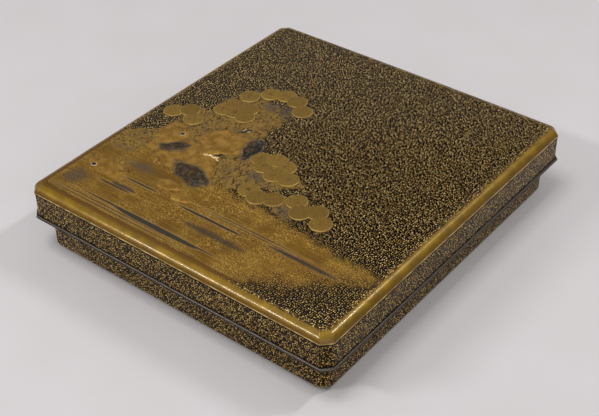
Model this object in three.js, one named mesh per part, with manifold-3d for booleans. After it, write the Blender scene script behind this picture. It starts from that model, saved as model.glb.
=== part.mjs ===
// A lacquered wooden writing box: a shallow open box, and a lid that lifts off and overhangs it all round.
// Millimetres, +Z up. The origin is the middle of the underside, X runs along the width, Y along the length,
// and the picture on the lid lies toward -X and -Y.
import * as THREE from 'three';
import Module from 'manifold-3d';
import { mergeVertices } from 'three/addons/utils/BufferGeometryUtils.js';

const wasm = await Module();
wasm.setup();

// Lid, outside. The width and length are taken across the sharp line at the foot of the gold border.
const lidWidth = 222;
const lidLength = 241;
const lidCornerCut = 5.4;
const lidBend = 1.2;
const borderWidth = 7;
const borderRoll = THREE.MathUtils.degToRad(71);
const panelCornerCut = 2.8;
const panelBend = 1;
const crown = 1;
const arrisHeight = 0.6;
const wallStep = 0.3;

// Lid, inside. The top is this thick at its corners, and the crown adds to it in the middle.
const lidTopThickness = 5;
const lidWall = 4.4;
const lidInsideDepth = 18.7;
const lidInsideCut = 4;
const ceilingCove = 2;

// Metal rim let in round the lower edge of the lid
const rimHeight = 2.4;
const rimProud = 1.2;
const rimSeat = 1.5;

// Lower box
const boxHeight = 41.9;
const boxWall = 4.5;
const boxFloor = 4.5;
const boxCornerCut = 5.2;
const boxInsideCut = 3.5;
const boxBend = 3;
const boxFootRadius = 5;
const floorCove = 2;
const edgeSoftening = 0.5;

// Clearances: round the box inside the lid, under the lid where it rests, and round the rim in its seat
const lidClearance = 1.3;
const restGap = 0.3;
const seatGap = 0.3;

// Raised lacquer picture. Its forms have sizes of their own, and their places are shares of half the lid.
const foliageRadius = 6.9;
const foliageRelief = 0.6;
const foliageLap = 0.14;
const foliageSides = 14;
const foliageEdge = 0.3;
const rockSides = 13;
const rockRoughness = 0.14;
const reliefRoot = 1;

// Smoothness of the faceted forms
const bendSteps = 2;
const sideSteps = 8;
const rollSteps = 6;
const panelShares = [0.25, 0.5, 0.75, 0.92];
const arcSteps = 3;
const longestBend = 0.69;

// Levels and insets that follow from the sizes above
const halfX = lidWidth / 2;
const halfY = lidLength / 2;
const ceilingLevel = boxHeight + restGap;
const lidBottom = ceilingLevel - lidInsideDepth;
const panelLevel = ceilingLevel + lidTopThickness;
const borderRise = borderWidth * Math.tan(borderRoll / 2);
const arrisLevel = panelLevel - borderRise;
const lidInside = wallStep + lidWall;
const boxOutside = lidInside + lidClearance;
const boxInside = boxOutside + boxWall;

// The top rises toward its middle, half as much in the middle of each side, and not at all at its corners.
function rise(x, y) {
  return crown * (1 - ((x / halfX) ** 2 + (y / halfY) ** 2) / 2);
}

// One level of a rectangular form with cut corners, as points in order round it. Each of the eight bends is
// softened by an arc, and each long side is divided into steps. The height is a function of the place.
function level({ x, y, cut, bend, height, steps = 1 }) {
  const turn = Math.PI / 4;
  const reach = Math.min(bend * Math.tan(turn / 2), cut * longestBend);
  const radius = reach / Math.tan(turn / 2);
  const bends = [
    [x, cut - y], [x, y - cut], [x - cut, y], [cut - x, y],
    [-x, y - cut], [-x, cut - y], [cut - x, -y], [x - cut, -y],
  ];
  const arcs = bends.map(([bendX, bendY], index) => {
    const heading = turn * (index + 1);
    const inward = heading + Math.PI / 2;
    const centreX = bendX - reach * Math.cos(heading) + radius * Math.cos(inward);
    const centreY = bendY - reach * Math.sin(heading) + radius * Math.sin(inward);
    const arc = [];
    for (let step = 0; step <= bendSteps; step++) {
      const angle = heading - Math.PI / 2 + turn * step / bendSteps;
      arc.push([centreX + radius * Math.cos(angle), centreY + radius * Math.sin(angle)]);
    }
    return arc;
  });
  const outline = [];
  arcs.forEach((arc, index) => {
    outline.push(...arc);
    const [fromX, fromY] = arc[bendSteps];
    const [toX, toY] = arcs[(index + 1) % arcs.length][0];
    for (let step = 1; step < steps && index % 2 === 0; step++) {
      const share = step / steps;
      outline.push([fromX + (toX - fromX) * share, fromY + (toY - fromY) * share]);
    }
  });
  return outline.map(([px, py]) => new THREE.Vector3(px, py, height(px, py)));
}

// A level of the lid or the box, set in from the lid's outer line.
function inset(distance, cut, bend, height, steps) {
  const at = typeof height === 'number' ? () => height : height;
  return level({ x: halfX - distance, y: halfY - distance, cut, bend, height: at, steps });
}

// Skins a stack of levels. A closed form starts and ends in a middle point, and a ring joins its last level
// to its first. The levels run over the top outward, down, and back inward below, so that faces turn outward.
function skin(levels, { first, last, ring = false }) {
  const points = levels.flat();
  const count = levels[0].length;
  const faces = [];
  const strips = ring ? levels.length : levels.length - 1;
  for (let strip = 0; strip < strips; strip++) {
    const upper = strip * count;
    const lower = ((strip + 1) % levels.length) * count;
    for (let side = 0; side < count; side++) {
      const next = (side + 1) % count;
      faces.push(upper + side, lower + side, lower + next);
      faces.push(upper + side, lower + next, upper + next);
    }
  }
  if (!ring) {
    const end = (levels.length - 1) * count;
    points.push(first, last);
    for (let side = 0; side < count; side++) {
      const next = (side + 1) % count;
      faces.push(points.length - 2, side, next);
      faces.push(end + side, points.length - 1, end + next);
    }
  }
  const geometry = new THREE.BufferGeometry().setFromPoints(points);
  geometry.setIndex(faces);
  return geometry;
}

// Quarter turns used for coves and rounded edges: pairs that go from (0, 1) to (1, 0).
function quarter(steps) {
  return Array.from({ length: steps + 1 }, (_, step) => {
    const angle = (Math.PI / 2) * step / steps;
    return [Math.sin(angle), Math.cos(angle)];
  });
}

function solidOf(geometry) {
  const plain = geometry.clone();
  plain.deleteAttribute('normal');
  plain.deleteAttribute('uv');
  const merged = mergeVertices(plain);
  const vertProperties = new Float32Array(merged.attributes.position.array);
  const triVerts = new Uint32Array(merged.index.array);
  return new wasm.Manifold(new wasm.Mesh({ numProp: 3, vertProperties, triVerts }));
}

function geometryOf(solid) {
  const mesh = solid.getMesh();
  const geometry = new THREE.BufferGeometry();
  geometry.setAttribute('position', new THREE.BufferAttribute(new Float32Array(mesh.vertProperties), 3));
  geometry.setIndex(new THREE.BufferAttribute(new Uint32Array(mesh.triVerts), 1));
  return geometry;
}

// The hollow lid: crowned panel, rolled border down to a sharp line, wall, rebate for the rim, and inside.
function lidShell() {
  const panelX = halfX - borderWidth;
  const panelY = halfY - borderWidth;
  const levels = [];
  for (const share of panelShares) {
    levels.push(level({
      x: panelX * share,
      y: panelY * share,
      cut: panelCornerCut * share,
      bend: panelBend * share,
      height: (x, y) => panelLevel + rise(x, y),
      steps: sideSteps,
    }));
  }
  for (let step = 0; step <= rollSteps; step++) {
    const angle = borderRoll * step / rollSteps;
    const outward = Math.sin(angle) / Math.sin(borderRoll);
    const drop = (1 - Math.cos(angle)) / (1 - Math.cos(borderRoll));
    const cut = panelCornerCut + (lidCornerCut - panelCornerCut) * outward;
    const height = (x, y) => panelLevel - borderRise * drop + rise(x, y);
    levels.push(inset(borderWidth * (1 - outward), cut, lidBend, height, sideSteps));
  }
  const side = (distance, height) => inset(distance, lidCornerCut, lidBend, height, sideSteps);
  const within = (distance, height) => inset(distance, lidInsideCut, lidBend, height, sideSteps);
  const seatLevel = lidBottom + rimHeight + seatGap;
  levels.push(side(wallStep, (x, y) => arrisLevel - arrisHeight + rise(x, y)));
  levels.push(side(wallStep, seatLevel));
  levels.push(side(wallStep + rimSeat, seatLevel));
  levels.push(side(wallStep + rimSeat, lidBottom));
  levels.push(within(lidInside - edgeSoftening, lidBottom));
  levels.push(within(lidInside, lidBottom + edgeSoftening));
  for (const [out, up] of quarter(arcSteps)) {
    levels.push(within(lidInside + ceilingCove * (1 - up), ceilingLevel - ceilingCove * (1 - out)));
  }
  const first = new THREE.Vector3(0, 0, panelLevel + rise(0, 0));
  const last = new THREE.Vector3(0, 0, ceilingLevel);
  return skin(levels, { first, last });
}

// Foliage of the pine in the picture: low round pads laid like scales along each bough from end to end.
// The bow lifts the middle of a bough, and the stagger sets every second pad up and the others down.
const boughs = [
  { from: [-0.591, 0.244], to: [-0.245, 0.29], count: 5, bow: 11.3, stagger: 0 },
  { from: [-0.848, -0.097], to: [-0.698, -0.097], count: 3, bow: 6.5, stagger: 0 },
  { from: [-0.625, 0.068], to: [-0.476, 0.075], count: 3, bow: 1, stagger: 0 },
  { from: [-0.594, 0.129], to: [-0.504, 0.137], count: 2, bow: 0, stagger: 0 },
  { from: [-0.08, -0.207], to: [0.01, -0.236], count: 2, bow: 0, stagger: 0 },
  { from: [-0.137, -0.166], to: [0.098, -0.224], count: 4, bow: 7, stagger: 0 },
  { from: [-0.012, -0.398], to: [0.142, -0.388], count: 3, bow: -3.5, stagger: 0 },
  { from: [0.251, -0.362], to: [0.463, -0.376], count: 4, bow: 0, stagger: -3.3 },
];

// Rocks in the picture: low uneven mounds with sloping sides. The top is a share of the foot, set off by its
// lean.
const rocks = [
  { u: -0.495, v: -0.37, wide: 28, deep: 15, high: 0.5, turn: -8, top: 0.93, lean: 0 },
  { u: -0.693, v: -0.252, wide: 10, deep: 12, high: 0.65, turn: 10, top: 0.88, lean: 0.03 },
  { u: -0.41, v: -0.16, wide: 16, deep: 13, high: 0.8, turn: 20, top: 0.9, lean: 0.03 },
  { u: -0.237, v: -0.134, wide: 7, deep: 12.5, high: 1.1, turn: 12, top: 0.6, lean: 0.15 },
  { u: -0.6, v: -0.347, wide: 11, deep: 5.5, high: 1.1, turn: 38, top: 0.6, lean: 0.1 },
  { u: -0.33, v: -0.48, wide: 17, deep: 8, high: 1.2, turn: -10, top: 0.5, lean: -0.15 },
  { u: -0.747, v: -0.667, wide: 18, deep: 7.5, high: 0.7, turn: -6, top: 0.88, lean: 0 },
  { u: -0.386, v: -0.602, wide: 9, deep: 5.5, high: 0.7, turn: 8, top: 0.8, lean: 0.05 },
  { u: -0.255, v: -0.644, wide: 9, deep: 3.5, high: 0.6, turn: 6, top: 0.8, lean: 0 },
];

// Stands a low form, made about +Y as its axis, on the crowned panel with its root inside the wood.
function raise(form, x, y, turn, height) {
  form.rotateX(Math.PI / 2);
  form.rotateZ(THREE.MathUtils.degToRad(turn));
  form.translate(x, y, panelLevel + rise(x, y) + height - (height + reliefRoot) / 2);
  return solidOf(form);
}

function foliagePads() {
  const pads = [];
  for (const { from, to, count, bow, stagger } of boughs) {
    for (let index = 0; index < count; index++) {
      const along = index / (count - 1);
      const lift = 4 * bow * along * (1 - along) + (index % 2 ? stagger : -stagger);
      const x = (from[0] + (to[0] - from[0]) * along) * halfX;
      const y = (from[1] + (to[1] - from[1]) * along) * halfY + lift;
      const height = foliageRelief + foliageLap * (index % 2);
      const rim = foliageRadius - foliageEdge;
      const foot = foliageRadius + foliageEdge * reliefRoot / height;
      const pad = new THREE.CylinderGeometry(rim, foot, height + reliefRoot, foliageSides);
      pads.push(raise(pad, x, y, 0, height));
    }
  }
  return pads;
}

function rockMounds() {
  return rocks.map(({ u, v, wide, deep, high, turn, top, lean }, index) => {
    const mound = new THREE.CylinderGeometry(top, 1, high + reliefRoot, rockSides);
    const place = mound.attributes.position;
    for (let point = 0; point < place.count; point++) {
      const x = place.getX(point);
      const z = place.getZ(point);
      const angle = Math.atan2(z, x);
      const waves = Math.sin(3 * angle + index) + Math.sin(5 * angle + 2 * index);
      const uneven = 1 + rockRoughness * waves / 2;
      const moved = place.getY(point) > 0 ? lean : 0;
      place.setX(point, (x * uneven + moved) * wide);
      place.setZ(point, (z * uneven) * deep);
    }
    return raise(mound, u * halfX, v * halfY, turn, high);
  });
}

function lid() {
  let solid = solidOf(lidShell());
  for (const form of [...rockMounds(), ...foliagePads()]) {
    solid = solid.add(form);
  }
  return geometryOf(solid);
}

// The metal rim: flat where it sits in the rebate, and a half-round bead outside, proud of the lid's wall.
function lidRim() {
  const seat = wallStep + rimSeat - seatGap;
  const levels = [inset(seat, lidCornerCut, lidBend, lidBottom + rimHeight)];
  for (let step = 0; step <= 2 * arcSteps; step++) {
    const angle = Math.PI * step / (2 * arcSteps);
    const out = wallStep - rimProud * Math.sin(angle);
    const height = lidBottom + rimHeight * (1 + Math.cos(angle)) / 2;
    levels.push(inset(out, lidCornerCut, lidBend, height));
  }
  levels.push(inset(seat, lidCornerCut, lidBend, lidBottom));
  return skin(levels, { ring: true });
}

// The lower box: an open tray with a coved floor, softened upper edges and a rounded lower edge.
function lowerBox() {
  const within = (distance, height) => inset(distance, boxInsideCut, boxBend, height);
  const side = (distance, height) => inset(distance, boxCornerCut, boxBend, height);
  const levels = [];
  for (const [out, up] of quarter(arcSteps)) {
    levels.push(within(boxInside + floorCove * (1 - out), boxFloor + floorCove * (1 - up)));
  }
  levels.push(within(boxInside, boxHeight - edgeSoftening));
  levels.push(within(boxInside - edgeSoftening, boxHeight));
  levels.push(side(boxOutside + edgeSoftening, boxHeight));
  levels.push(side(boxOutside, boxHeight - edgeSoftening));
  for (const [out, up] of quarter(arcSteps + 1)) {
    levels.push(side(boxOutside + boxFootRadius * (1 - up), boxFootRadius * (1 - out)));
  }
  const first = new THREE.Vector3(0, 0, boxFloor);
  const last = new THREE.Vector3(0, 0, 0);
  return skin(levels, { first, last });
}

function finish(color, roughness, metalness) {
  return new THREE.MeshStandardMaterial({ color, roughness, metalness });
}

const sprinkledLacquer = finish(0x4b3e26, 0.3, 0.3);
const goldLacquer = finish(0x7d6532, 0.35, 0.5);
const pewter = finish(0x4b4c54, 0.4, 0.9);

function piece(name, geometry, material) {
  const mesh = new THREE.Mesh(geometry, material);
  mesh.name = name;
  return mesh;
}

const writingBox = new THREE.Group();
writingBox.add(piece('box', lowerBox(), sprinkledLacquer));
writingBox.add(piece('lid', lid(), goldLacquer));
writingBox.add(piece('lid_rim', lidRim(), pewter));

export default writingBox;
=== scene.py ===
import math

import bpy
import numpy as np
from mathutils import Matrix, Vector


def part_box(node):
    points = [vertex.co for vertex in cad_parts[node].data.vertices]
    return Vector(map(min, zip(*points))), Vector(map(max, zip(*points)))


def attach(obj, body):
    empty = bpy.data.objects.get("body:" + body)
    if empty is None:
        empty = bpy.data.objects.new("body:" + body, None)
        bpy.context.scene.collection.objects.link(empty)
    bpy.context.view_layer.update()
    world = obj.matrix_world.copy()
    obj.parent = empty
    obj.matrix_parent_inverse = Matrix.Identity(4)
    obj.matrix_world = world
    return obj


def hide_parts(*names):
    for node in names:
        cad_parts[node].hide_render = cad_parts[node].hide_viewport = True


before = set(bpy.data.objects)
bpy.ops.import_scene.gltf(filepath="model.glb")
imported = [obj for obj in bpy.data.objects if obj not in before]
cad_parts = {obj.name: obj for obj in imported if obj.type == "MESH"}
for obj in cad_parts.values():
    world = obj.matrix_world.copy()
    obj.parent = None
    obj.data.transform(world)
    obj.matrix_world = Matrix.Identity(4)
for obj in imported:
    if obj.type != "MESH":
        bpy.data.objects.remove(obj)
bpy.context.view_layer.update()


# Lower box. An open tray of thin wood with cut corners and a well rounded foot, covered in black lacquer and
# sprinkled all over with gold flakes. Its inside, which the lid hides, is the same lacquer with fewer flakes.
MM = 0.001
TURN = math.pi / 4
LONGEST_BEND = 0.69


def frame_box(node):
    """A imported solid's lowest and highest corner, in millimetres."""
    low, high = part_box(node)
    return np.array(low) / MM, np.array(high) / MM


def outline(half_x, half_y, cut, bend, spots):
    """Points round a rectangle with cut corners. A spot is an edge's number and a share of the edge's length,
    and each of the eight bends is softened by an arc."""
    edge, share = spots
    x, y = half_x, half_y
    bends = np.array([
        (x, cut - y), (x, y - cut), (x - cut, y), (cut - x, y),
        (-x, y - cut), (-x, cut - y), (cut - x, -y), (x - cut, -y),
    ])
    start = bends[edge]
    along = bends[(edge + 1) % 8] - start
    length = np.linalg.norm(along, axis=1)
    points = start + along * share[:, None]
    reach = min(bend * math.tan(TURN / 2), cut * LONGEST_BEND)
    radius = reach / math.tan(TURN / 2)
    before = share * length
    after = length - before
    for near, bend_number, turned in (
        (before < reach, edge, 0.5 + before / reach / 2),
        (after < reach, (edge + 1) % 8, 0.5 - after / reach / 2),
    ):
        heading = TURN * (bend_number + 1)
        forward = np.stack([np.cos(heading), np.sin(heading)], 1)
        inward = np.stack([-np.sin(heading), np.cos(heading)], 1)
        angle = heading - math.pi / 2 + TURN * turned
        arc = np.stack([np.cos(angle), np.sin(angle)], 1)
        on_arc = bends[bend_number] - forward * reach + (inward + arc) * radius
        points = np.where(near[:, None], on_arc, points)
    return points


def at_height(points, height):
    """Lifts a level's points to a height, or to a height that is a function of the place."""
    level = height(points[:, 0], points[:, 1]) if callable(height) else np.full(len(points), float(height))
    return np.column_stack([points, level])


def strips(count, levels, first=0):
    """Quads that join each level to the next, with faces outward where levels run over the top, out and down."""
    side = np.arange(count)
    turn_on = (side + 1) % count
    rows = []
    for level in range(levels - 1):
        upper = first + level * count
        lower = upper + count
        rows.append(np.column_stack([upper + side, lower + side, lower + turn_on, upper + turn_on]))
    return np.concatenate(rows).tolist()


def make_piece(name, points, faces, finishes, finish_numbers, sharp=32):
    """A smooth-shaded mesh object at the origin, from points in millimetres."""
    mesh = bpy.data.meshes.new(name)
    mesh.from_pydata((np.asarray(points) * MM).tolist(), [], faces)
    for finish in finishes:
        mesh.materials.append(finish)
    mesh.polygons.foreach_set("material_index", finish_numbers)
    mesh.shade_smooth()
    mesh.set_sharp_from_angle(angle=math.radians(sharp))
    mesh.update()
    piece = bpy.data.objects.new(name, mesh)
    bpy.context.scene.collection.objects.link(piece)
    return piece


def tint(red, green, blue):
    """A colour as a screen shows it, 0 to 255, turned into the linear colour that a shader takes."""
    parts = [value / 255 for value in (red, green, blue)]
    linear = [p / 12.92 if p <= 0.04045 else ((p + 0.055) / 1.055) ** 2.4 for p in parts]
    return (*linear, 1.0)


class Wire:
    """A socket of a node tree. Each sign or method adds its node to the graph that the socket belongs to."""

    def __init__(self, graph, socket):
        self.graph = graph
        self.socket = socket

    @staticmethod
    def of(graph, value):
        """The value as a wire, by a node of its own if it is a bare number."""
        return value if isinstance(value, Wire) else graph.node("ShaderNodeMath", {0: value, 1: 0.0})

    def also(self, output):
        return Wire(self.graph, self.socket.node.outputs[output])

    def math(self, operation, *others):
        return self.graph.node("ShaderNodeMath", dict(enumerate((self, *others))), operation=operation)

    def __add__(self, other):
        return self.math("ADD", other)

    def __radd__(self, other):
        return self.math("ADD", other)

    def __sub__(self, other):
        return self.math("SUBTRACT", other)

    def __rsub__(self, other):
        return self.graph.node("ShaderNodeMath", {0: other, 1: self}, operation="SUBTRACT")

    def __mul__(self, other):
        return self.math("MULTIPLY", other)

    def __rmul__(self, other):
        return self.math("MULTIPLY", other)

    def __truediv__(self, other):
        return self.math("DIVIDE", other)

    def __abs__(self):
        return self.math("ABSOLUTE")

    def least(self, other):
        return self.math("MINIMUM", other)

    def most(self, other):
        return self.math("MAXIMUM", other)

    def ramp(self, low, high, start=0.0, end=1.0):
        """Rises smoothly from start at low to end at high. Low may be above high."""
        return self.graph.node(
            "ShaderNodeMapRange",
            {"Value": self, "From Min": low, "From Max": high, "To Min": start, "To Max": end},
            interpolation_type="SMOOTHSTEP",
        )


class Graph:
    """A node tree. node() adds a node, with its settings first and then what feeds its sockets."""

    def __init__(self, tree):
        self.tree = tree

    def node(self, kind, feeds=None, output=0, **settings):
        node = self.tree.nodes.new(kind)
        for name, value in settings.items():
            setattr(node, name, value)
        for name, value in (feeds or {}).items():
            if isinstance(value, Wire):
                self.tree.links.new(value.socket, node.inputs[name])
            else:
                node.inputs[name].default_value = value
        return Wire(self, node.outputs[output]) if node.outputs else None


class Finish(Graph):
    """The material of one finish, with a Principled shader whose sockets shade() sets."""

    def __init__(self, name):
        self.material = bpy.data.materials.new(name)
        self.material.use_nodes = True
        super().__init__(self.material.node_tree)
        self.tree.nodes.clear()
        self.place = self.node("ShaderNodeTexCoord", output="Object")

    def noise(self, size, place=None, detail=2.0, rough=0.5, output=0):
        """Cloudy noise about 0.5 whose features are about size millimetres across."""
        return self.node(
            "ShaderNodeTexNoise",
            {"Vector": place or self.place, "Scale": 1 / (size * MM), "Detail": detail, "Roughness": rough},
            output=output,
        )

    def mix(self, low, high, share):
        return self.node("ShaderNodeMix", {0: share, 6: low, 7: high}, output=2, data_type="RGBA")

    def axes(self, place=None):
        """The place's X, Y and Z in millimetres."""
        parts = self.node("ShaderNodeSeparateXYZ", {0: place or self.place})
        return [parts.also(axis) / MM for axis in "XYZ"]

    def shade(self, height=None, **sockets):
        feeds = {name.replace("_", " "): value for name, value in sockets.items()}
        if height is not None:
            feeds["Normal"] = self.node("ShaderNodeBump", {"Height": height, "Distance": MM, "Strength": 1.0})
        shader = self.node("ShaderNodeBsdfPrincipled", feeds)
        end = self.tree.nodes.new("ShaderNodeOutputMaterial")
        self.tree.links.new(shader.socket, end.inputs["Surface"])
        return self.material


# Flakes: the spacing in millimetres, how far they stray from even rows, the wobble of their outlines and their
# edge as shares of the spacing, and how steeply they are tipped.
FLAKE_SPACING = 0.84
LEVEL_SPACING = 1.3
FLAKE_STRAY = 0.8
LEVEL_STRAY = 0.7
FLAKE_FIELD_TURN = (0.4, 0.7, 0.3)
WOBBLE_SIZE = 0.8
WOBBLE_REACH = 0.45
FLAKE_SIZE_SPREAD = 0.12
FLAKE_EDGE = 0.09
FLAKE_TIP = 0.5
FLAKE_LIFT = 0.02
DARK_LACQUER = tint(12, 8, 4)
WARM_LACQUER = tint(26, 17, 5)
FLAKE_GOLD = tint(190, 142, 50)
FLAKE_PALE = tint(255, 220, 134)
FLAKE_GREY = tint(144, 108, 58)
FLAKE_WARM = tint(176, 132, 46)


def flakes(finish, spacing, cover, level):
    """Irregular flakes strewn in lacquer: how much a flake covers the place, its own shade from 0 to 1, and a
    height in millimetres that tips each flake its own way. A level surface takes them as even flat dots. The
    walls cut a field of flakes that is turned away from them, so that no wall runs along its rows."""
    if level:
        place = finish.node("ShaderNodeVectorMath", {0: finish.place, 1: (1, 1, 0)}, operation="MULTIPLY")
    else:
        place = finish.node("ShaderNodeVectorRotate", {
            "Vector": finish.place, "Rotation": FLAKE_FIELD_TURN,
        }, rotation_type="EULER_XYZ")
    wobble = finish.noise(spacing * WOBBLE_SIZE, output="Color", detail=1.0)
    bend = spacing * MM * WOBBLE_REACH
    reach = (bend, bend, 0.0 if level else bend)
    moved = finish.node("ShaderNodeVectorMath", {0: wobble, 1: (0.5, 0.5, 0.5)}, operation="SUBTRACT")
    bent = finish.node("ShaderNodeVectorMath", {0: moved, 1: reach, 2: place}, operation="MULTIPLY_ADD")
    cells = finish.node("ShaderNodeTexVoronoi", {
        "Vector": bent, "Scale": 1 / (spacing * MM), "Randomness": LEVEL_STRAY if level else FLAKE_STRAY,
    }, voronoi_dimensions="2D" if level else "3D")
    shade = finish.node("ShaderNodeSeparateColor", {0: cells.also("Color")})
    size = shade.also("Blue") * FLAKE_SIZE_SPREAD
    there = (cells.also("Distance") - size).ramp(cover, cover - FLAKE_EDGE)
    away = finish.node(
        "ShaderNodeVectorMath", {0: bent, 1: cells.also("Position")}, operation="SUBTRACT",
    )
    lean = finish.node(
        "ShaderNodeVectorMath", {0: cells.also("Color"), 1: (0.5, 0.5, 0.5)}, operation="SUBTRACT",
    )
    tip = finish.node("ShaderNodeVectorMath", {0: away, 1: lean}, output="Value", operation="DOT_PRODUCT")
    return there, shade.also("Red"), (tip * (1 / MM) * FLAKE_TIP + FLAKE_LIFT) * there


def sprinkled(finish, cover, ground=DARK_LACQUER, sparse=0.0, warm=0.0, level=False):
    """Lacquer with gold flakes: its colour, how far a flake covers it, and its height."""
    spacing = LEVEL_SPACING if level else FLAKE_SPACING
    there, shade, height = flakes(finish, spacing, cover, level)
    there = there * (1 - Wire.of(finish, sparse))
    gold = finish.mix(FLAKE_GOLD, FLAKE_PALE, shade.ramp(0.3, 0.95))
    gold = finish.mix(FLAKE_GREY, gold, shade.ramp(0.0, 0.35))
    gold = finish.mix(gold, FLAKE_WARM, warm)
    gold = finish.mix(ground, gold, shade.ramp(-0.3, 0.5, 0.4, 1.0))
    return finish.mix(ground, gold, there), there, height


def sprinkled_lacquer(name, cover):
    """The finish of a sprinkled wall, by how much of it the flakes cover."""
    finish = Finish(name)
    colour, there, height = sprinkled(finish, cover, ground=WARM_LACQUER)
    return finish.shade(
        height=height,
        Base_Color=colour,
        Metallic=there * 0.3,
        Roughness=there.ramp(0.0, 1.0, 0.1, 0.34),
        Coat_Weight=finish.noise(30).ramp(0.3, 0.7, 0.0, 0.05),
        Coat_Roughness=0.1,
        Specular_IOR_Level=0.08,
    )


box_high = frame_box("box")[1]
BOX_WALL = 4.5
BOX_FLOOR = 4.5
BOX_CORNER_CUT = 5.2
BOX_INSIDE_CUT = 3.5
BOX_BEND = 3.0
BOX_FOOT_RADIUS = 5.0
FLOOR_COVE = 2.0
EDGE_SOFTENING = 0.5
BEND_SHARE = 0.006
BEND_POINTS = 6
EDGE_POINTS = 9

side_shares = np.concatenate([
    np.linspace(0, BEND_SHARE, BEND_POINTS), np.linspace(BEND_SHARE, 1 - BEND_SHARE, EDGE_POINTS)[1:-1],
    np.linspace(1 - BEND_SHARE, 1, BEND_POINTS)[:-1],
])
corner_shares = np.linspace(0, 1, EDGE_POINTS)[:-1]
edge_shares = [side_shares, corner_shares] * 4
box_spots = (
    np.concatenate([np.full(len(shares), edge) for edge, shares in enumerate(edge_shares)]),
    np.concatenate(edge_shares),
)


def box_level(distance, height, cut):
    """Points round the box, a distance inside its outline."""
    half_x, half_y = box_high[0] - distance, box_high[1] - distance
    return at_height(outline(half_x, half_y, cut, BOX_BEND, box_spots), height)


def quarter(steps):
    """Pairs that turn from (0, 1) to (1, 0)."""
    angles = np.linspace(0, math.pi / 2, steps + 1)
    return list(zip(np.sin(angles), np.cos(angles)))


box_top = box_high[2]
inside_levels = [
    box_level(BOX_WALL + FLOOR_COVE * (1 - out), BOX_FLOOR + FLOOR_COVE * (1 - up), BOX_INSIDE_CUT)
    for out, up in quarter(6)
]
inside_levels += [box_level(BOX_WALL, box_top - EDGE_SOFTENING, BOX_INSIDE_CUT)]
outside_levels = [
    box_level(BOX_WALL - EDGE_SOFTENING * (1 - up), box_top - EDGE_SOFTENING * (1 - out), BOX_INSIDE_CUT)
    for out, up in quarter(3)[1:]
]
outside_levels += [
    box_level(EDGE_SOFTENING * (1 - out), box_top - EDGE_SOFTENING * (1 - up), BOX_CORNER_CUT)
    for out, up in quarter(3)
]
outside_levels += [
    box_level(BOX_FOOT_RADIUS * (1 - up), BOX_FOOT_RADIUS * (1 - out), BOX_CORNER_CUT)
    for out, up in quarter(12)
]
box_levels = inside_levels + outside_levels
ring_count = len(box_spots[0])
box_points = np.concatenate(box_levels)
box_faces = strips(ring_count, len(box_levels))
inside_strips = len(inside_levels) - 1

# Finishes by number: outside 0 and inside 1.
box_finish_numbers = [1] * (inside_strips * ring_count) + [0] * (len(box_faces) - inside_strips * ring_count)
last_level = len(box_points) - ring_count
box_faces.append(list(range(ring_count)))
box_faces.append(list(range(last_level, len(box_points)))[::-1])
box_finish_numbers += [1, 1]

wall_lacquer = sprinkled_lacquer("sprinkled_lacquer", cover=0.33)
inner_lacquer = sprinkled_lacquer("inner_lacquer", cover=0.22)
lower_box = make_piece("lower_box", box_points, box_faces, [wall_lacquer, inner_lacquer], box_finish_numbers)
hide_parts("box")
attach(lower_box, "root")


# Lid. A hollow shell of thin wood that comes down over the box, its top slightly crowned, with a rolled border of
# polished gold lacquer that ends in a sharp line above the sprinkled walls. The landscape is lacquer built up on
# the panel: rocks in gold and dark metal powders over sprinkled mist and water.
lid_low, lid_high = frame_box("lid")
LID_CORNER_CUT = 5.4
LID_BEND = 1.2
BORDER_WIDTH = 7.0
BORDER_ROLL = math.radians(71)
BORDER_RISE = BORDER_WIDTH * math.tan(BORDER_ROLL / 2)
PANEL_CORNER_CUT = 2.8
CROWN = 1.0
ARRIS_HEIGHT = 0.6
WALL_STEP = 0.3
TOP_THICKNESS = 5.0
LID_WALL = 4.4
LID_INSIDE_CUT = 4.0
CEILING_COVE = 2.0
REST_GAP = 0.3
RIM_SEAT = 1.5
SEAT_GAP = 0.3
ARRIS_EDGE = 0.2
SHADOW_DEPTH = 1.55
REBATE_SOFTENING = 0.15
ROCK_ROUGHNESS = 0.14
ROCK_SUMMIT = 0.8
ROCK_DOME = 0.2
RELIEF_ROOT = 1.0
FOOT_SOFTENING = 0.1

rim_low, rim_high = frame_box("lid_rim")
half_x, half_y = lid_high[0], lid_high[1]
lid_bottom = lid_low[2]
ceiling = box_top + REST_GAP
panel_level = ceiling + TOP_THICKNESS
arris_level = panel_level - BORDER_RISE
seat_level = rim_high[2] + SEAT_GAP


def rise(x, y):
    """How far the crowned top stands over its corners."""
    return CROWN * (1 - ((x / half_x) ** 2 + (y / half_y) ** 2) / 2)


# Rocks: the middle as shares of the half width and the half length, the half width, half depth and height in
# millimetres, the turn in degrees, and the top as a share of the foot, set off by its lean.
ROCKS = [
    dict(u=-0.495, v=-0.37, wide=28, deep=15, high=0.5, turn=-8, top=0.93, lean=0, dark=False),
    dict(u=-0.693, v=-0.252, wide=10, deep=12, high=0.65, turn=10, top=0.88, lean=0.03, dark=False),
    dict(u=-0.4, v=-0.17, wide=17.5, deep=14, high=0.8, turn=20, top=0.9, lean=0.03, dark=False),
    dict(u=-0.237, v=-0.134, wide=7, deep=12.5, high=1.1, turn=12, top=0.6, lean=0.15, dark=True),
    dict(u=-0.6, v=-0.347, wide=11, deep=5.5, high=1.1, turn=38, top=0.6, lean=0.1, dark=True),
    dict(u=-0.33, v=-0.475, wide=17, deep=8, high=1.2, turn=-14, top=0.62, lean=-0.2, dark=True),
    dict(u=-0.747, v=-0.667, wide=18, deep=7.5, high=0.7, turn=-6, top=0.88, lean=0, dark=False),
    dict(u=-0.386, v=-0.602, wide=9, deep=5.5, high=0.7, turn=8, top=0.8, lean=0.05, dark=False),
    dict(u=-0.255, v=-0.644, wide=9, deep=3.5, high=0.6, turn=6, top=0.8, lean=0, dark=False),
]


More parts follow.
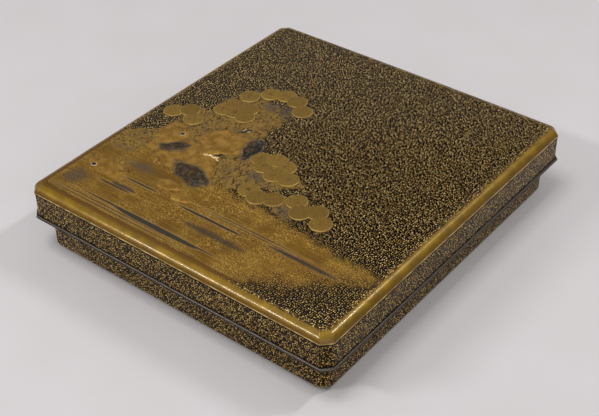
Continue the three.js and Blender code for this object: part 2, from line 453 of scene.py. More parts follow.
def rock_field(rock, number, x, y):
    """For one rock: how far inside its foot a place is, in millimetres, and how high the rock stands there."""
    turn = math.radians(rock["turn"])
    away_x, away_y = x - rock["u"] * half_x, y - rock["v"] * half_y
    across = (away_x * math.cos(turn) + away_y * math.sin(turn)) / rock["wide"] - rock["lean"] * ROCK_SUMMIT
    up = (away_y * math.cos(turn) - away_x * math.sin(turn)) / rock["deep"]
    angle = -np.arctan2(up, across)
    uneven = 1 + ROCK_ROUGHNESS * (np.sin(3 * angle + number) + np.sin(5 * angle + 2 * number)) / 2
    reach = np.hypot(across, up) / uneven
    foot = 1 - (1 - rock["top"]) * RELIEF_ROOT / (rock["high"] + RELIEF_ROOT)
    slope = np.clip((foot - reach) / (foot - rock["top"] + FOOT_SOFTENING), 0, 1)
    height = rock["high"] * (slope * slope * (3 - 2 * slope)) * (1 - ROCK_DOME * (reach / foot) ** 2)
    return (foot - reach) * min(rock["wide"], rock["deep"]), height


def relief(x, y):
    """How high the rocks stand over the panel."""
    heights = [rock_field(rock, number, x, y)[1] for number, rock in enumerate(ROCKS)]
    return np.clip(np.max(heights, axis=0), 0, None)


def rock_depth(x, y, dark):
    """Millimetres inside the foot of the nearest gold or dark rock."""
    fields = [rock_field(rock, number, x, y)[0] for number, rock in enumerate(ROCKS) if rock["dark"] == dark]
    return np.max(fields, axis=0)


# Oval patches: the middle as shares of the half width and the half length, and half the width and half the depth
# in millimetres. Haze is faint needles and branches between the boughs, and smudges are soft grey shading.
HAZE = [
    (-0.46, 0.13, 26, 18), (-0.54, -0.11, 28, 20), (-0.69, -0.33, 20, 14), (-0.09, -0.28, 30, 11),
    (0.06, -0.23, 18, 7), (-0.14, -0.38, 13, 9), (0.25, -0.41, 10, 9), (-0.71, -0.03, 13, 7),
    (-0.29, -0.25, 13, 9), (-0.85, -0.43, 15, 13), (-0.29, -0.43, 14, 12), (-0.25, -0.33, 15, 13),
    (-0.35, -0.01, 13, 9),
]
SMUDGES = [
    (-0.32, 0.26, 8, 11), (-0.42, 0.23, 10, 7), (0.26, -0.42, 11, 9), (-0.61, -0.565, 17, 6),
    (-0.84, -0.81, 11, 11), (-0.06, -0.29, 11, 7),
]


def patch_depth(patches, x, y):
    """1 in the middle of each patch, 0 at its edge and less than 0 outside."""
    depths = [
        1 - np.hypot((x - u * half_x) / wide, (y - v * half_y) / deep) for u, v, wide, deep in patches
    ]
    return np.max(depths, axis=0)


MIST_TOP = -0.49
MIST_TILT = 0.1
MIST_RIGHT = 0.86
MIST_LEVEL = 0.58
MIST_SLANT = 1.35
MIST_END_SOFTNESS = 0.3


def mist_depth(x, y):
    """Gold mist over the lower part: millimetres inside its edge, where the far edge is softer."""
    top = MIST_TOP * half_y - MIST_TILT * x - y
    right = (MIST_RIGHT * half_x + (y + MIST_LEVEL * half_y) * MIST_SLANT - x) * MIST_END_SOFTNESS
    return np.minimum(top, right)


CORNER_CELLS = 6
EDGE_CELLS = np.array([1.6, 1.0, 0.6, 0.3, 0.12])
FINE_STEP = 0.55
FINE_COLUMNS = (-0.9, -0.16)
FINE_ROWS = (-0.7, 0.02)
COARSE_STEP = 2.0


def lines(half, fine_low, fine_high):
    """Grid lines over the panel: close at the cut corners and over the rocks, wider elsewhere."""
    corner = np.linspace(half - PANEL_CORNER_CUT, half, CORNER_CELLS + 1)
    inner = half - PANEL_CORNER_CUT
    edge = np.concatenate([inner - EDGE_CELLS, corner])
    fine = np.arange(fine_low, fine_high, FINE_STEP)
    left = np.linspace(-edge[0], fine_low, max(2, round((fine_low + edge[0]) / COARSE_STEP) + 1))[1:-1]
    right = np.linspace(fine[-1], edge[0], round((edge[0] - fine[-1]) / COARSE_STEP) + 1)[1:-1]
    return np.concatenate([-edge[::-1], left, fine, right, edge])


panel_x, panel_y = half_x - BORDER_WIDTH, half_y - BORDER_WIDTH
columns = lines(panel_x, *(share * half_x for share in FINE_COLUMNS))
rows = lines(panel_y, *(share * half_y for share in FINE_ROWS))
column_count, row_count = len(columns), len(rows)
column, row = np.meshgrid(np.arange(column_count), np.arange(row_count))
from_side = np.minimum(column, column_count - 1 - column)
from_end = np.minimum(row, row_count - 1 - row)
kept = from_side + from_end >= CORNER_CELLS
number_at = np.full(kept.shape, -1)
number_at[kept] = np.arange(kept.sum())
panel_xy = np.column_stack([columns[column[kept]], rows[row[kept]]])
panel_z = panel_level + rise(*panel_xy.T) + relief(*panel_xy.T)
corners = np.stack([number_at[:-1, :-1], number_at[:-1, 1:], number_at[1:, 1:], number_at[1:, :-1]], -1)
corners = corners.reshape(-1, 4)
whole = (corners >= 0).all(1)
cut_cells = (corners >= 0).sum(1) == 3
panel_faces = corners[whole].tolist() + [[n for n in cell if n >= 0] for cell in corners[cut_cells].tolist()]

on_edge = kept & ((from_side + from_end == CORNER_CELLS) | (from_side == 0) | (from_end == 0))
rim_numbers = number_at[on_edge]
rim_xy = panel_xy[rim_numbers]


def spots_of(points, half_x, half_y, cut):
    """Each point's edge and its share along it, for points on a rectangle with cut corners."""
    x, y = points[:, 0], points[:, 1]
    long_x, long_y = half_x - cut, half_y - cut
    slack = 1e-6
    edge = np.select(
        [
            (x > half_x - slack) & (y < long_y - slack), (x > long_x + slack) & (y > 0),
            (y > half_y - slack) & (x > -long_x + slack), (x < -long_x) & (y > long_y + slack),
            (x < slack - half_x) & (y > -long_y + slack), (x < -long_x - slack) & (y < 0),
            (y < slack - half_y) & (x < long_x - slack),
        ],
        list(range(7)), default=7,
    )
    share = np.select(
        [edge == number for number in range(7)],
        [
            (y + long_y) / (2 * long_y), (y - long_y) / cut, (long_x - x) / (2 * long_x),
            (half_y - y) / cut, (long_y - y) / (2 * long_y), (-long_y - y) / cut, (x + long_x) / (2 * long_x),
        ],
        default=(x - long_x) / cut,
    )
    return edge, np.clip(share, 0, 1)


edge_of, share_of = spots_of(rim_xy, panel_x, panel_y, PANEL_CORNER_CUT)
order = np.lexsort([share_of, edge_of])
lid_spots = (edge_of[order], share_of[order])
loop = rim_numbers[order]
loop_count = len(loop)


def lid_level(distance, height, cut=LID_CORNER_CUT):
    """Points round the lid, a distance inside its outline."""
    return at_height(outline(half_x - distance, half_y - distance, cut, LID_BEND, lid_spots), height)


def over(height):
    """A height that follows the crown."""
    return lambda x, y: height + rise(x, y)


LINE_SHARE = 0.96
ROLL_POINTS = 16
rolled_shares = [*np.linspace(0, LINE_SHARE, ROLL_POINTS)[1:], 1.0]
border_levels = []
for part in rolled_shares:
    angle = BORDER_ROLL * part
    outward = math.sin(angle) / math.sin(BORDER_ROLL)
    drop = (1 - math.cos(angle)) / (1 - math.cos(BORDER_ROLL))
    cut = PANEL_CORNER_CUT + (LID_CORNER_CUT - PANEL_CORNER_CUT) * outward
    border_levels.append(lid_level(BORDER_WIDTH * (1 - outward), over(panel_level - BORDER_RISE * drop), cut))
border_levels.append(lid_level(0, over(arris_level - ARRIS_EDGE)))
wall_levels = [
    lid_level(WALL_STEP, over(arris_level - ARRIS_HEIGHT)),
    lid_level(WALL_STEP, over(arris_level - SHADOW_DEPTH)),
    lid_level(WALL_STEP, (arris_level + seat_level) / 2),
    lid_level(WALL_STEP, seat_level + REBATE_SOFTENING),
    lid_level(WALL_STEP + REBATE_SOFTENING, seat_level),
    lid_level(WALL_STEP + RIM_SEAT, seat_level),
    lid_level(WALL_STEP + RIM_SEAT, lid_bottom + REBATE_SOFTENING),
    lid_level(WALL_STEP + RIM_SEAT + REBATE_SOFTENING, lid_bottom),
]
inside = WALL_STEP + LID_WALL
inner_levels = [
    lid_level(inside - EDGE_SOFTENING * (1 - out), lid_bottom + EDGE_SOFTENING * (1 - up), LID_INSIDE_CUT)
    for out, up in quarter(3)
]
inner_levels += [
    lid_level(inside + CEILING_COVE * (1 - up), ceiling - CEILING_COVE * (1 - out), LID_INSIDE_CUT)
    for out, up in quarter(5)
]
ring_levels = border_levels + wall_levels + inner_levels
ring_points = np.concatenate(ring_levels)
panel_count = len(panel_xy)
lid_points = np.concatenate([np.column_stack([panel_xy, panel_z]), ring_points])
first_ring = panel_count + np.arange(loop_count)
lid_faces = list(panel_faces)
lid_faces += np.column_stack([loop, first_ring, np.roll(first_ring, -1), np.roll(loop, -1)]).tolist()
lid_faces += strips(loop_count, len(ring_levels), panel_count)
lid_faces.append(list(range(len(lid_points) - loop_count, len(lid_points)))[::-1])
border_strips = len(border_levels)
wall_strips = len(wall_levels)

# Finishes by number: panel 0, gold border 1, sprinkled wall 2, inside 3, pale edge line with a painted highlight 4,
# and painted shadow on the step under the edge and in the rebate 5.
lid_finish_numbers = [0] * len(panel_faces)
for finish, strip_count in ((1, border_strips - 2), (4, 2), (5, 2), (2, 2), (5, wall_strips - 4)):
    lid_finish_numbers += [finish] * (strip_count * loop_count)
lid_finish_numbers += [3] * (len(lid_faces) - len(lid_finish_numbers))

gold = Finish("gold_border")
rolled = gold.node("ShaderNodeAttribute", output="Fac", attribute_name="rolled")
mist_near = gold.node("ShaderNodeAttribute", output="Fac", attribute_name="mist").ramp(-7, 4)
strewn_ground = gold.mix(tint(44, 31, 15), tint(96, 64, 16), mist_near)
strewn, _, strewn_height = sprinkled(
    gold, cover=0.33, ground=strewn_ground, sparse=mist_near * 0.9, warm=mist_near,
)
worn = gold.noise(9, detail=4).ramp(0.35, 0.7)
specks = gold.noise(0.7, detail=2).ramp(0.5, 0.66)
solid = (rolled + gold.noise(1.0, detail=2) * 0.14 - 0.07).ramp(0.16, 0.34)
band = gold.mix(tint(114, 86, 3), tint(140, 108, 8), worn)
# Painted shade: the band turns darker and browner over the outer part of the roll, which turns down and away from
# the light.
band = gold.mix(band, tint(96, 64, 10), rolled.ramp(0.55, 0.9, 0.0, 0.7))
band = gold.mix(band, tint(92, 66, 28), specks * 0.3)
gold_border = gold.shade(
    height=strewn_height * (1 - solid) + gold.noise(2.2) * 0.03,
    Base_Color=gold.mix(strewn, band, solid),
    Metallic=solid * 0.2 + 0.15,
    Roughness=gold.noise(4).ramp(0.3, 0.7, 0.36, 0.46),
    Coat_Weight=gold.noise(14, detail=3).ramp(0.3, 0.65, 0.25, 0.5) * solid,
    Coat_Roughness=0.13,
    Specular_IOR_Level=0.25,
)

# Painted highlight: the gold of the sharp edge is made pale, standing for the highlight that runs along it.
edge = Finish("edge_gold_and_highlight")
edge_gold_and_highlight = edge.shade(
    Base_Color=edge.mix(tint(146, 116, 54), tint(222, 192, 124), edge.noise(6, detail=3).ramp(0.35, 0.65)),
    Metallic=0.4,
    Roughness=0.4,
)

# Painted shadow: the step under the sharp edge, a strip of wall below it and the rebate behind the rim are near
# black, standing for the shade under the overhang.
shadow = Finish("painted_shadow_step")
painted_shadow_step = shadow.shade(
    Base_Color=shadow.mix(tint(9, 6, 4), tint(34, 26, 15), shadow.noise(1.2, detail=2).ramp(0.55, 0.75)),
    Roughness=0.6,
    Specular_IOR_Level=0.15,
)

panel = Finish("lid_panel")
x, y = panel.axes()[:2]


def field(name):
    return panel.node("ShaderNodeAttribute", output="Fac", attribute_name=name)


def along_water(width, length):
    """Noise drawn out along the water, for ripples."""
    stretched = panel.node("ShaderNodeVectorMath", {
        0: panel.place, 1: (width / length, 1.0, 1.0),
    }, operation="MULTIPLY")
    return panel.noise(width, place=stretched, detail=2)


edge_noise = panel.noise(5, detail=4) - 0.5
fine_noise = panel.noise(0.8, detail=2)
haze = (field("haze") + edge_noise * 0.9).ramp(0.0, 0.3)
smudge = (field("smudge") + edge_noise * 0.6).ramp(0.0, 0.8)
mist_place = field("mist") + edge_noise * 13
mist = mist_place.ramp(-7, 4)
mist_deep = mist_place.ramp(-3, 11)
gold_rock = (field("gold_rock") + edge_noise * 3.0).ramp(-1.2, 0.6)
dark_depth = field("dark_rock") + edge_noise * 3.4
dark_rock = dark_depth.ramp(-2.0, 0.6)
ridge = dark_depth.ramp(-0.6, -0.2) * dark_depth.ramp(0.5, 0.1) * panel.noise(9, detail=1).ramp(0.52, 0.58)

cloud = panel.noise(24, detail=3).ramp(0.3, 0.7)
ripple = along_water(0.9, 34).ramp(0.35, 0.7)
mist_gold = panel.mix(tint(116, 80, 18), tint(130, 98, 32), cloud)
mist_gold = panel.mix(mist_gold, tint(84, 58, 18), ripple * 0.6)
dust = panel.noise(0.7, detail=1).ramp(0.5, 0.66) * panel.noise(13, detail=3).ramp(0.36, 0.58)
mist_gold = panel.mix(mist_gold, tint(188, 150, 70), dust * 0.85)
mist_gold = panel.mix(mist_gold, tint(70, 47, 14), panel.noise(0.8, detail=1).ramp(0.42, 0.3) * 0.7)
ground = panel.mix(DARK_LACQUER, mist_gold, mist)
colour, flake, flake_height = sprinkled(
    panel, cover=0.188, ground=ground, sparse=mist_deep * 0.85, warm=mist_place.ramp(-17, 0) * 0.85, level=True,
)

strokes = panel.node("ShaderNodeVectorMath", {0: panel.place, 1: (1.0, 0.4, 1.0)}, operation="MULTIPLY")
crackle = panel.noise(0.9, place=strokes, detail=3)
needles = panel.mix(tint(46, 34, 18), tint(144, 112, 52), crackle.ramp(0.36, 0.52))
needles = panel.mix(needles, tint(100, 82, 54), panel.noise(7, detail=2).ramp(0.5, 0.7, 0.0, 0.6))
colour = panel.mix(colour, needles, haze * 0.9)
colour = panel.mix(colour, panel.mix(tint(66, 62, 56), tint(98, 84, 66), fine_noise), smudge * 0.65)
rock_gold = panel.mix(tint(128, 92, 30), tint(160, 122, 52), panel.noise(6, detail=4).ramp(0.35, 0.65))
rock_gold = panel.mix(rock_gold, tint(92, 68, 28), panel.noise(3.0, detail=4).ramp(0.5, 0.75, 0.0, 0.75))
rock_line = field("gold_rock") + panel.noise(2.0, detail=3) * 2.4 - 1.2
cracks = rock_line.ramp(-0.5, -0.1) * rock_line.ramp(0.5, 0.1) * panel.noise(4, detail=2).ramp(0.45, 0.6)
colour = panel.mix(colour, rock_gold, gold_rock)
colour = panel.mix(colour, tint(64, 46, 26), cracks * 0.7)
upright = panel.node("ShaderNodeVectorMath", {0: panel.place, 1: (1.0, 0.25, 1.0)}, operation="MULTIPLY")
brushed = panel.noise(0.9, place=upright, detail=3)
rock_dark = panel.mix(tint(68, 64, 61), tint(22, 20, 17), dark_depth.ramp(-1.4, 1.6) * brushed.ramp(0.36, 0.54))
rock_dark = panel.mix(rock_dark, tint(96, 72, 38), panel.noise(2.4, detail=4).ramp(0.54, 0.66) * 0.7)
colour = panel.mix(colour, rock_dark, dark_rock * 0.9)
colour = panel.mix(colour, tint(150, 122, 72), ridge * 0.5)
mottle = panel.noise(2.6, detail=4)
painted = haze.most(gold_rock)
colour = panel.mix(colour, tint(84, 62, 26), mottle.ramp(0.54, 0.7) * painted * (1 - dark_rock) * 0.6)
colour = panel.mix(colour, tint(150, 116, 54), mottle.ramp(0.44, 0.3) * painted * (1 - dark_rock) * 0.5)

# Streaks of water: from and to as shares of the half width, the height on the lid as a share of the half length,
# half the thickness and the softness in millimetres, and how dark.
STREAKS = [
    (-0.14, 0.56, -0.634, 0.6, 0.6, 0.75), (-0.09, 0.51, -0.65, 0.6, 0.6, 0.65),
    (0.34, 0.79, -0.664, 1.8, 1.5, 0.9), (-0.24, 0.23, -0.687, 1.0, 0.35, 0.98),
    (-0.62, -0.37, -0.675, 0.8, 0.4, 0.95), (-0.73, -0.48, -0.76, 0.9, 0.5, 0.9),
    (-0.65, -0.47, -0.74, 2.2, 2.0, 0.8), (-0.12, 0.31, -0.764, 2.8, 2.2, 0.7),
    (-0.76, 0.25, -0.871, 0.9, 0.4, 0.9), (-0.49, 0.11, -0.878, 1.9, 0.7, 0.95),
    (-0.91, -0.1, -0.898, 0.6, 0.6, 0.7), (-0.93, 0.05, -0.917, 0.6, 0.6, 0.75),
]
water = Wire.of(panel, 0.0)
foam = Wire.of(panel, 0.0)
for start, end, place, thick, soft, strength in STREAKS:
    middle, reach = (start + end) / 2 * half_x, (end - start) / 2 * half_x
    along = (x - middle) / reach
    swell = 1 - along * along
    inside_streak = swell * (2 - swell) * thick - abs(y - place * half_y + edge_noise * 0.6)
    water = water.most(inside_streak.ramp(-soft * 0.3, soft) * strength)
    foam = foam.most(inside_streak.ramp(-soft - 0.5, -soft * 0.5) * inside_streak.ramp(0.3, -0.1) / soft * 0.25)
colour = panel.mix(colour, tint(158, 126, 66), foam.least(0.6))
colour = panel.mix(colour, panel.mix(tint(35, 34, 35), tint(64, 61, 58), fine_noise), water)
bare = (1 - haze) * (1 - mist_deep) * (1 - gold_rock.most(dark_rock).most(smudge))

from_edge = (panel_x - abs(x)).least(panel_y - abs(y))
from_edge = from_edge.least((panel_x + panel_y - PANEL_CORNER_CUT - abs(x) - abs(y)) * math.sqrt(0.5))
SEAM = 0.55
colour = panel.mix(colour, tint(28, 21, 13), from_edge.ramp(SEAM, SEAM * 0.5) * 0.7)
lid_panel = panel.shade(
    height=flake_height * bare + crackle * 0.06 * (1 - bare),
    Base_Color=colour,
    Metallic=flake * bare * 0.3 + (1 - bare) * 0.35,
    Roughness=(flake * bare).ramp(0.0, 1.0, 0.1, 0.34).most((1 - bare) * 0.46).most(dark_rock * 0.6),
    Coat_Weight=bare * 0.03,
    Coat_Roughness=0.1,
    Specular_IOR_Level=0.22,
)

lid = make_piece(
    "lid_shell", lid_points, lid_faces,
    [lid_panel, gold_border, wall_lacquer, inner_lacquer, edge_gold_and_highlight, painted_shadow_step], lid_finish_numbers,
)
lid_x, lid_y = lid_points[:, 0], lid_points[:, 1]
for name, depths in (
    ("haze", patch_depth(HAZE, lid_x, lid_y)), ("smudge", patch_depth(SMUDGES, lid_x, lid_y)),
    ("mist", mist_depth(lid_x, lid_y)),
    ("gold_rock", rock_depth(lid_x, lid_y, False)), ("dark_rock", rock_depth(lid_x, lid_y, True)),
):
    lid.data.attributes.new(name, "FLOAT", "POINT").data.foreach_set("value", depths)
rolled_levels = np.concatenate([rolled_shares, np.ones(len(ring_levels) - len(rolled_shares))])
values = np.concatenate([np.zeros(panel_count), np.repeat(rolled_levels, loop_count)])
lid.data.attributes.new("rolled", "FLOAT", "POINT").data.foreach_set("value", values)
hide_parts("lid")
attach(lid, "root")


# Foliage. Round pads of lacquer built up on the panel and powdered with gold, lapped like scales along each bough,
# with needles drawn outward from the middle of a pad and a fine light line round its edge.
FOLIAGE_RADIUS = 6.9
FOLIAGE_RELIEF = 0.6
FOLIAGE_LAP = 0.14
PAD_SIDES = 44
PAD_ROOT = 0.8
PAD_DOME = 0.12
PAD_EDGE_DROP = 0.78
PAD_EDGE_POWER = 22.0
SHADE_SEED = 7

# Boughs: from and to as shares of the half width and the half length, how many pads, and in millimetres how far
# the bough bows and how far every other pad is set off from it.
BOUGHS = [
    dict(start=(-0.591, 0.244), end=(-0.245, 0.29), count=5, bow=11.3, stagger=0),
    dict(start=(-0.848, -0.097), end=(-0.698, -0.097), count=3, bow=6.5, stagger=0),
    dict(start=(-0.625, 0.068), end=(-0.476, 0.075), count=3, bow=1, stagger=0),
    dict(start=(-0.594, 0.129), end=(-0.504, 0.137), count=2, bow=0, stagger=0),
    dict(start=(-0.08, -0.207), end=(0.01, -0.236), count=2, bow=0, stagger=0),
    dict(start=(-0.137, -0.166), end=(0.098, -0.224), count=4, bow=7, stagger=0),
    dict(start=(-0.012, -0.398), end=(0.142, -0.388), count=3, bow=-3.5, stagger=0),
    dict(start=(0.251, -0.362), end=(0.463, -0.376), count=4, bow=0, stagger=-3.3),
]


def pads_on(bough):
    """Each pad's middle, size and turn along a bough."""
    start, end = (np.array(bough[key]) * (half_x, half_y) for key in ("start", "end"))
    for index in range(bough["count"]):
        along = index / (bough["count"] - 1)
        sway = bough["stagger"] if index % 2 else -bough["stagger"]
        x, y = start + (end - start) * along
        y += 4 * bough["bow"] * along * (1 - along) + sway
        yield (x, y), (FOLIAGE_RADIUS, FOLIAGE_RADIUS, FOLIAGE_RELIEF + FOLIAGE_LAP * (index % 2)), 0.0


def raised_recipe():
    """A tree that stands a closed, softly rounded pad on each point, by the point's size and turn."""
    tree = bpy.data.node_groups.new("raised_pads", "GeometryNodeTree")
    tree.is_modifier = True
    sockets = {}
    for name, kind, way in (
        ("Points", "NodeSocketGeometry", "INPUT"), ("Sides", "NodeSocketInt", "INPUT"),
        ("Root", "NodeSocketFloat", "INPUT"), ("Finish", "NodeSocketMaterial", "INPUT"),
        ("Pads", "NodeSocketGeometry", "OUTPUT"),
    ):
        sockets[name] = tree.interface.new_socket(name, in_out=way, socket_type=kind)
    graph = Graph(tree)
    given = graph.node("NodeGroupInput")
    disc = graph.node("GeometryNodeMeshCylinder", {
        "Vertices": given.also("Sides"), "Side Segments": 1, "Fill Segments": 9, "Radius": 1.0, "Depth": 1.0,
    })
    flat = graph.node("ShaderNodeVectorMath", {
        0: graph.node("GeometryNodeInputPosition"), 1: (1, 1, 0),
    }, operation="MULTIPLY")
    reach = graph.node("ShaderNodeVectorMath", {0: flat}, output="Value", operation="LENGTH")
    closer = 1 - (1 - reach) * (1 - reach)
    spread = closer / reach.most(0.001)
    swell = 1 - closer * closer * PAD_DOME - closer.math("POWER", PAD_EDGE_POWER) * PAD_EDGE_DROP
    across = graph.node("ShaderNodeVectorMath", {0: flat, "Scale": spread}, operation="SCALE")
    top = graph.node("ShaderNodeCombineXYZ", {2: swell})
    raised = graph.node("ShaderNodeVectorMath", {0: across, 1: top}, operation="ADD")
    root = graph.node("ShaderNodeCombineXYZ", {2: 0 - given.also("Root")})
    sunk = graph.node("ShaderNodeVectorMath", {0: across, 1: root}, operation="ADD")
    shaped = graph.node("GeometryNodeSetPosition", {
        "Geometry": disc, "Selection": disc.also("Top"), "Position": raised,
    })
    shaped = graph.node("GeometryNodeSetPosition", {
        "Geometry": shaped, "Selection": disc.also("Bottom"), "Position": sunk,
    })
    kept = graph.node("GeometryNodeStoreNamedAttribute", {
        "Geometry": shaped, "Name": "disc", "Value": graph.node("GeometryNodeInputPosition"),
    }, data_type="FLOAT_VECTOR", domain="POINT")
    size = graph.node("GeometryNodeInputNamedAttribute", {"Name": "size"}, data_type="FLOAT_VECTOR")
    turn = graph.node("GeometryNodeInputNamedAttribute", {"Name": "turn"}, data_type="FLOAT")
    placed = graph.node("GeometryNodeInstanceOnPoints", {
        "Points": given.also("Points"), "Instance": kept, "Scale": size,
        "Rotation": graph.node("ShaderNodeCombineXYZ", {2: turn}),
    })
    real = graph.node("GeometryNodeRealizeInstances", {"Geometry": placed})
    smooth = graph.node("GeometryNodeSetShadeSmooth", {"Geometry": real})
    dressed = graph.node("GeometryNodeSetMaterial", {"Geometry": smooth, "Material": given.also("Finish")})
    graph.node("NodeGroupOutput", {"Pads": dressed})
    return tree, {name: socket.identifier for name, socket in sockets.items()}


RAISED, RAISED_INPUTS = raised_recipe()


def raised_pieces(name, pads, sides, root, finish):
    """One mesh of pads that stand on the panel. A pad is its middle, its size and its turn in radians."""
    spots = bpy.data.meshes.new(name + "_spots")
    middles = np.array([middle for middle, _, _ in pads])
    levels = panel_level + rise(*middles.T) + relief(*middles.T)
    spots.from_pydata((np.column_stack([middles, levels]) * MM).tolist(), [], [])
    sizes = np.array([size for _, size, _ in pads]) * MM
    turns = np.array([turn for _, _, turn in pads])
    shades = np.random.default_rng(SHADE_SEED).random(len(pads))
    spots.attributes.new("size", "FLOAT_VECTOR", "POINT").data.foreach_set("vector", sizes.ravel())
    spots.attributes.new("turn", "FLOAT", "POINT").data.foreach_set("value", turns)
    spots.attributes.new("shade", "FLOAT", "POINT").data.foreach_set("value", shades)
    grower = bpy.data.objects.new(name + "_grower", spots)
    bpy.context.scene.collection.objects.link(grower)
    modifier = grower.modifiers.new("raised", "NODES")
    modifier.node_group = RAISED
    for key, value in (("Sides", sides), ("Root", root), ("Finish", finish)):
        modifier[RAISED_INPUTS[key]] = value
    graph = bpy.context.evaluated_depsgraph_get()
    mesh = bpy.data.meshes.new_from_object(grower.evaluated_get(graph), depsgraph=graph)
    bpy.data.objects.remove(grower)
    mesh.name = name
    piece = bpy.data.objects.new(name, mesh)
    bpy.context.scene.collection.objects.link(piece)
    return piece


leaf = Finish("foliage_gold")
disc = leaf.node("ShaderNodeAttribute", output="Vector", attribute_name="disc")
shade = leaf.node("ShaderNodeAttribute", output="Fac", attribute_name="shade")
flat = leaf.node("ShaderNodeVectorMath", {0: disc, 1: (1, 1, 0)}, operation="MULTIPLY")
reach = leaf.node("ShaderNodeVectorMath", {0: flat}, output="Value", operation="LENGTH")
outward = leaf.node("ShaderNodeVectorMath", {0: flat}, operation="NORMALIZE")
stretched = leaf.node("ShaderNodeVectorMath", {
    0: outward, 1: (9, 9, 9), 2: leaf.node("ShaderNodeCombineXYZ", {2: reach * 1.2 + shade * 40}),
}, operation="MULTIPLY_ADD")
needles = leaf.node("ShaderNodeTexNoise", {"Vector": stretched, "Scale": 1.6, "Detail": 2.0})
leaf_gold = leaf.mix(tint(122, 93, 32), tint(142, 110, 42), shade)
leaf_gold = leaf.mix(leaf_gold, tint(88, 68, 26), needles.ramp(0.44, 0.6, 0.0, 0.6))
heart = leaf.noise(1.3, detail=2).ramp(0.5, 0.6) * reach.ramp(0.45, 0.1) * shade.ramp(0.2, 0.5)
leaf_gold = leaf.mix(leaf_gold, tint(66, 50, 30), heart * 0.8)
light_line = reach.ramp(0.88, 0.92) * reach.ramp(0.98, 0.95)
leaf_gold = leaf.mix(leaf_gold, tint(172, 142, 76), light_line * leaf.noise(5).ramp(0.35, 0.6, 0.3, 0.8))
foliage_gold = leaf.shade(
    height=needles * 0.03,
    Base_Color=leaf_gold,
    Metallic=0.35,
    Roughness=leaf.noise(3).ramp(0.3, 0.7, 0.4, 0.5),
    Specular_IOR_Level=0.35,
)
foliage = raised_pieces(
    "foliage", [pad for bough in BOUGHS for pad in pads_on(bough)],
    sides=PAD_SIDES, root=PAD_ROOT, finish=foliage_gold,
)
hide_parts("lid")
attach(foliage, "root")


# Inlays. Small pieces cut from sheet gold and from dark metal and set into the lacquer: two rows of short strokes
# on the cliff and two round knots in the rocks. Their shapes are plain strokes of no particular figure.
STROKE_HEIGHT = 0.35
STROKE_SIDES = 24

# Strokes: the middle, half the length and half the thickness in millimetres, and the turn in degrees.
GOLD_STROKES = [
    (-43.8, -36.4, 2.6, 0.85, 20), (-41.0, -35.8, 2.2, 0.8, -30), (-38.4, -35.6, 2.2, 0.8, 35),
    (-36.6, -36.2, 1.8, 0.8, -15),
]
DARK_STROKES = [
    (-37.9, -31.6, 1.9, 1.0, 70), (-38.9, -33.2, 1.5, 0.8, 10), (-41.6, -3.0, 2.2, 1.1, 70),
    (-40.2, -0.9, 1.8, 1.0, 15), (-43.0, -5.0, 1.8, 0.9, 15),
]
PALE_STROKES = [(-42.9, -2.4, 1.9, 0.6, 75), (-39.9, -2.1, 1.6, 0.5, 60)]

# Knots: the middle and the radius in millimetres. A pale ring shows round each.
KNOTS = [(-71.0, -28.6, 1.5), (-92.4, -83.6, 1.6)]
KNOT_RING = 0.7
KNOT_FLATNESS = 0.85
KNOT_HEIGHT = STROKE_HEIGHT * 0.8
KNOT_RING_HEIGHT = STROKE_HEIGHT * 0.5
# Gold of the strokes, with pale patches painted in for the glints that the metal catches.
bright = Finish("inlaid_gold_and_glint")
inlaid_gold_and_glint = bright.shade(
    height=bright.noise(0.7) * 0.12,
    Base_Color=bright.mix(tint(176, 124, 50), tint(255, 232, 176), bright.noise(0.9, detail=3).ramp(0.42, 0.54)),
    Metallic=0.5,
    Roughness=0.3,
)
dusky = Finish("inlaid_dark")
inlaid_dark = dusky.shade(
    Base_Color=dusky.mix(tint(24, 20, 18), tint(60, 52, 44), dusky.noise(0.9, detail=2).ramp(0.45, 0.7)),
    Metallic=0.3,
    Roughness=0.35,
)
pale = Finish("inlaid_pale")
inlaid_pale = pale.shade(
    Base_Color=pale.mix(tint(150, 126, 84), tint(196, 170, 122), pale.noise(0.9, detail=2).ramp(0.4, 0.6)),
    Metallic=0.4,
    Roughness=0.4,
)


def stroke_pads(strokes):
    return [((x, y), (long, thick, STROKE_HEIGHT), math.radians(turn)) for x, y, long, thick, turn in strokes]


def knot_pads(extra, height):
    return [((x, y), (radius + extra, radius * KNOT_FLATNESS + extra, height), 0.0) for x, y, radius in KNOTS]


for name, pads, finish in (
    ("gold_strokes", stroke_pads(GOLD_STROKES), inlaid_gold_and_glint),
    ("pale_strokes", stroke_pads(PALE_STROKES) + knot_pads(KNOT_RING, KNOT_RING_HEIGHT), inlaid_pale),
    ("dark_strokes", stroke_pads(DARK_STROKES) + knot_pads(0, KNOT_HEIGHT), inlaid_dark),
):
    inlay = raised_pieces(name, pads, sides=STROKE_SIDES, root=PAD_ROOT, finish=finish)
    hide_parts("lid")
    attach(inlay, "root")


# Rim of the lid. A narrow bead of dulled pewter, let into a rebate round the lid's lower edge and standing a little
# proud of the wall. A light line is painted on its upper half as the highlight that the rounded bead catches, and
# its lower half, which faces down into shade, is rougher and less metallic.
BEAD_FULLNESS = 0.8
BEAD_TUCK = 0.35
BEAD_SHARES = [
    (math.sin(turn), math.cos(turn) ** BEAD_FULLNESS)
    for turn in np.radians([-84, -60, -40, -20, 0, 20, 40, 60, 84])
]
rim_middle = (rim_low[2] + rim_high[2]) / 2
rim_half = (rim_high[2] - rim_low[2]) / 2
rim_out = rim_high[0] - half_x
rim_levels = [lid_level(RIM_SEAT, rim_high[2])]
rim_levels += [
    lid_level(-rim_out * bulge + BEAD_TUCK * (1 - bulge), rim_middle - rim_half * drop)
    for drop, bulge in BEAD_SHARES
]
rim_levels += [lid_level(RIM_SEAT, rim_low[2])]
rim_points = np.concatenate(rim_levels)
rim_faces = strips(loop_count, len(rim_levels))
